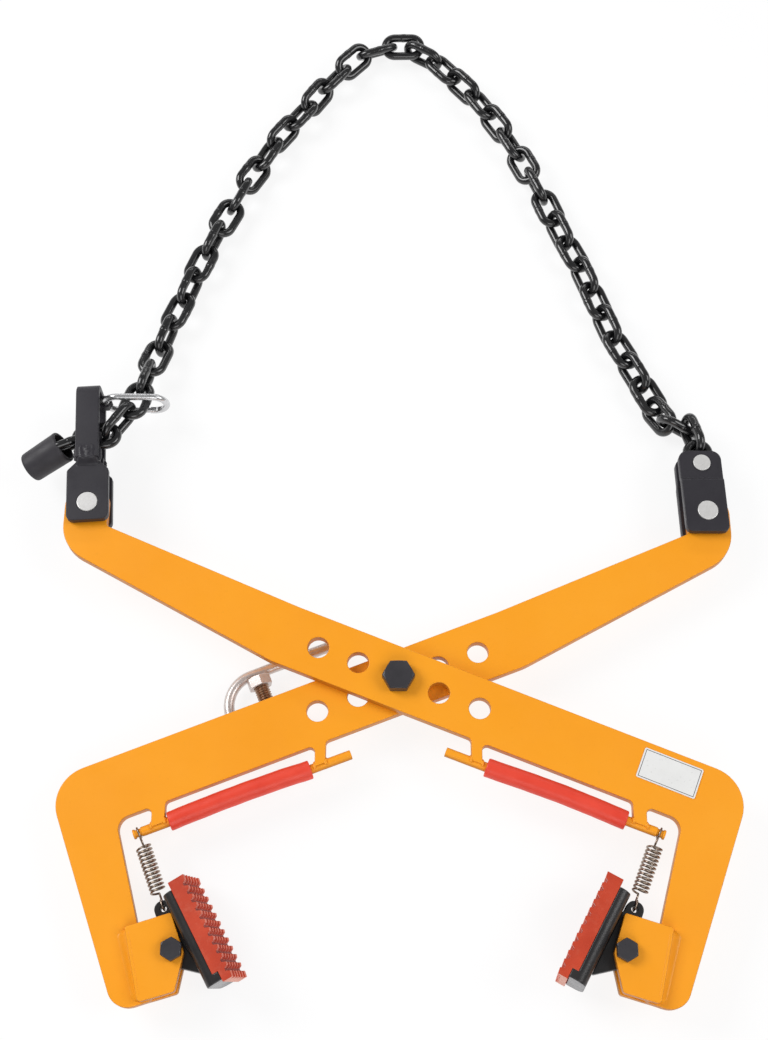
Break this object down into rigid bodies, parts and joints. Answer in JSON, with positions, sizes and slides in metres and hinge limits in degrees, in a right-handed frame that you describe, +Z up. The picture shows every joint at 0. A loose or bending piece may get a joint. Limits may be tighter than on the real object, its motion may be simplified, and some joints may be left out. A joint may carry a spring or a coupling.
{
  "type": "lifting_tongs",
  "caption": "Orange scissor lifting tongs with red toothed grip pads, sprung jaw pads, red-sleeved rest rods and a black chain sling",
  "frame": {"origin": "Middle of the outer box in X and Y, on the floor plane that the tongs lie on.", "axes": "+X from the left jaw to the right jaw, +Y from the jaws to the chain's middle, +Z up from the floor, parallel to the pivot axis."},
  "size_m": [0.6318, 0.9658, 0.0637],
  "materials": {
    "orange_paint": "gloss powder coat, a little worn at the edges",
    "head_black_paint": "matt black paint",
    "pad_black_paint": "semi-gloss black paint, bare at the ends",
    "black_fastener": "black oxide",
    "zinc_steel": "bright zinc, turned",
    "spring_steel": "drawn wire",
    "chain_black": "glossy black lacquer",
    "pad_red": "moulded hard rubber",
    "sleeve_red": "soft hose",
    "rubber_black": "satin",
    "bright_steel": "bright zinc",
    "plate_white": "blank film plate"
  },
  "bodies": {
    "back_arm_body": {"back_arm": "orange_paint", "pivot_bolt": "black_fastener", "pivot_nut": "black_fastener", "pivot_washer": "black_fastener", "pivot_bush": "zinc_steel", "pivot_spacer": "black_fastener", "left_cheek_front": "orange_paint", "left_cheek_back": "orange_paint", "left_jaw_bolt": "black_fastener", "left_jaw_nut": "black_fastener", "left_rest_rod": "orange_paint", "left_rest_sleeve": "sleeve_red", "stop_boss": "orange_paint", "stop_stud": "zinc_steel", "stop_nut": "zinc_steel"},
    "front_arm_body": {"front_arm": "orange_paint", "right_cheek_front": "orange_paint", "right_cheek_back": "orange_paint", "right_jaw_bolt": "black_fastener", "right_jaw_nut": "black_fastener", "right_rest_rod": "orange_paint", "right_rest_sleeve": "sleeve_red", "stop_rod": "zinc_steel", "stop_post": "zinc_steel", "blank_plate": "plate_white"},
    "left_pad_body": {"left_pad_lug": "pad_black_paint", "left_pad_holder": "pad_black_paint", "left_grip_pad": "pad_red", "left_pad_spring": "spring_steel"},
    "right_pad_body": {"right_pad_lug": "pad_black_paint", "right_pad_holder": "pad_black_paint", "right_grip_pad": "pad_red", "right_pad_spring": "spring_steel"},
    "right_clevis_body": {"right_clevis_front": "head_black_paint", "right_clevis_back": "head_black_paint", "right_arm_pin": "zinc_steel", "right_chain_pin": "zinc_steel"},
    "right_chain_body": {"chain_right_a": "chain_black", "chain_right_b": "chain_black", "chain_right_c": "chain_black", "chain_right_d": "chain_black"},
    "left_head_body": {"left_head_front": "head_black_paint", "left_head_back": "head_black_paint", "left_arm_pin": "zinc_steel", "head_stirrup": "head_black_paint", "keeper_eye": "head_black_paint", "carabiner_body": "bright_steel", "gate_pin": "bright_steel", "head_chain_links": "chain_black", "chain_left_a": "chain_black", "chain_left_b": "chain_black", "chain_left_c": "chain_black"},
    "gate_body": {"carabiner_gate": "bright_steel"},
    "tail_body": {"tail_link": "chain_black", "tail_sleeve": "rubber_black"}
  },
  "joints": [
    {"name": "scissor", "type": "hinge", "parent": "back_arm_body", "child": "front_arm_body", "pos_m": [0.02324, -0.22007, 0.041], "axis": [0, 0, 1], "range_deg": [-40, 0]},
    {"name": "right_clevis_turn", "type": "hinge", "parent": "back_arm_body", "child": "right_clevis_body", "pos_m": [0.29494, -0.06507, 0.03], "axis": [0, 0, 1], "range_deg": [-21, 1]},
    {"name": "right_chain_turn", "type": "hinge", "parent": "right_clevis_body", "child": "right_chain_body", "pos_m": [0.29344, -0.01827, 0.03], "axis": [0, 0, 1], "range_deg": [-9, 1]},
    {"name": "left_head_turn", "type": "hinge", "parent": "front_arm_body", "child": "left_head_body", "pos_m": [-0.24846, -0.06507, 0.041], "axis": [0, 0, 1], "range_deg": [-1, 28]},
    {"name": "left_pad_turn", "type": "hinge", "parent": "back_arm_body", "child": "left_pad_body", "pos_m": [-0.15316, -0.44027, 0.03], "axis": [0, 0, 1], "range_deg": [-40, 0], "stiffness_Nm_per_rad": 0.6, "deforming": ["left_pad_spring"]},
    {"name": "right_pad_turn", "type": "hinge", "parent": "front_arm_body", "child": "right_pad_body", "pos_m": [0.19964, -0.44027, 0.041], "axis": [0, 0, 1], "range_deg": [0, 40], "stiffness_Nm_per_rad": 0.6, "deforming": ["right_pad_spring"]},
    {"name": "gate_turn", "type": "hinge", "parent": "left_head_body", "child": "gate_body", "pos_m": [-0.20198, 0.04147, 0.022], "axis": [0, 1, 0], "range_deg": [0, 18], "stiffness_Nm_per_rad": 0.02},
    {"name": "tail_swing", "type": "hinge", "parent": "left_head_body", "child": "tail_body", "pos_m": [-0.25986, 0.00233, 0.0414], "axis": [0, 0, 1], "range_deg": [-6, 1.5]}
  ],
  "couplings": [
    {"joint": "right_clevis_turn", "follows": "scissor", "ratio": 0.5},
    {"joint": "right_chain_turn", "follows": "scissor", "ratio": 0.1944},
    {"joint": "left_head_turn", "follows": "scissor", "ratio": -0.6716}
  ]
}
